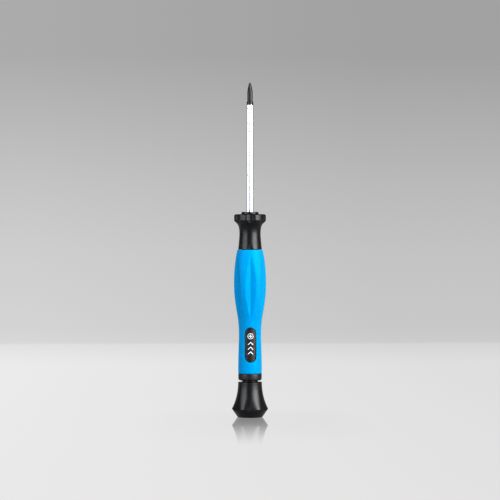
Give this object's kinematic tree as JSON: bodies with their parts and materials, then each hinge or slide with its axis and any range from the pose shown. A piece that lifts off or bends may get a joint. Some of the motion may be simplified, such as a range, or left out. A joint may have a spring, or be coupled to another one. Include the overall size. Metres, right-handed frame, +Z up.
{
  "type": "precision screwdriver",
  "caption": "Precision cross-point screwdriver: round chromed blade, fluted collar, scalloped soft grip and a flared swivel cap on a ball bearing.",
  "frame": {"origin": "centre of the swivel cap's base, on the surface that the tool stands on", "axes": "+Z runs up the tool's axis to the tip of the blade; -Y is the side with the label; +X is to the right when the label faces the viewer"},
  "size_m": [0.0166, 0.0156, 0.155],
  "materials": {
    "chromed_steel": "bright chrome plate, black oxide at the tip",
    "black_plastic": "moulded, satin",
    "matte_black_plastic": "moulded, fine matte texture",
    "label_plastic": "moulded, printed with pale marks",
    "blue_elastomer": "soft-touch, satin",
    "brass": "machined",
    "turned_steel": "turned",
    "spring_steel": "oiled, dark",
    "bearing_steel": "ground and polished"
  },
  "bodies": {
    "handle": {"blade": "chromed_steel", "nose_bush": "black_plastic", "handle_core": "black_plastic", "grip_sleeve": "blue_elastomer", "label_plate": "label_plastic", "tail_ferrule": "matte_black_plastic", "threaded_insert": "brass", "shoulder_screw": "turned_steel", "lock_washer": "spring_steel", "spacer_bush": "spring_steel", "bearing_inner_ring": "bearing_steel"},
    "cap": {"cap_shell": "black_plastic", "cap_plug": "black_plastic", "retaining_ring": "spring_steel", "bearing_outer_ring": "bearing_steel", "bearing_shield_upper": "turned_steel", "bearing_shield_lower": "turned_steel"},
    "ball_set": {"bearing_cage": "brass", "bearing_ball_1": "bearing_steel", "bearing_ball_2": "bearing_steel", "bearing_ball_3": "bearing_steel", "bearing_ball_4": "bearing_steel", "bearing_ball_5": "bearing_steel", "bearing_ball_6": "bearing_steel", "bearing_ball_7": "bearing_steel"}
  },
  "joints": [
    {"name": "cap_spin", "type": "hinge", "parent": "handle", "child": "cap", "pos_m": [0, 0, 0.0141], "axis": [0, 0, 1], "continuous": true},
    {"name": "cage_spin", "type": "hinge", "parent": "handle", "child": "ball_set", "pos_m": [0, 0, 0.0141], "axis": [0, 0, 1], "continuous": true}
  ],
  "couplings": [
    {"joint": "cage_spin", "follows": "cap_spin", "ratio": 0.63636}
  ]
}
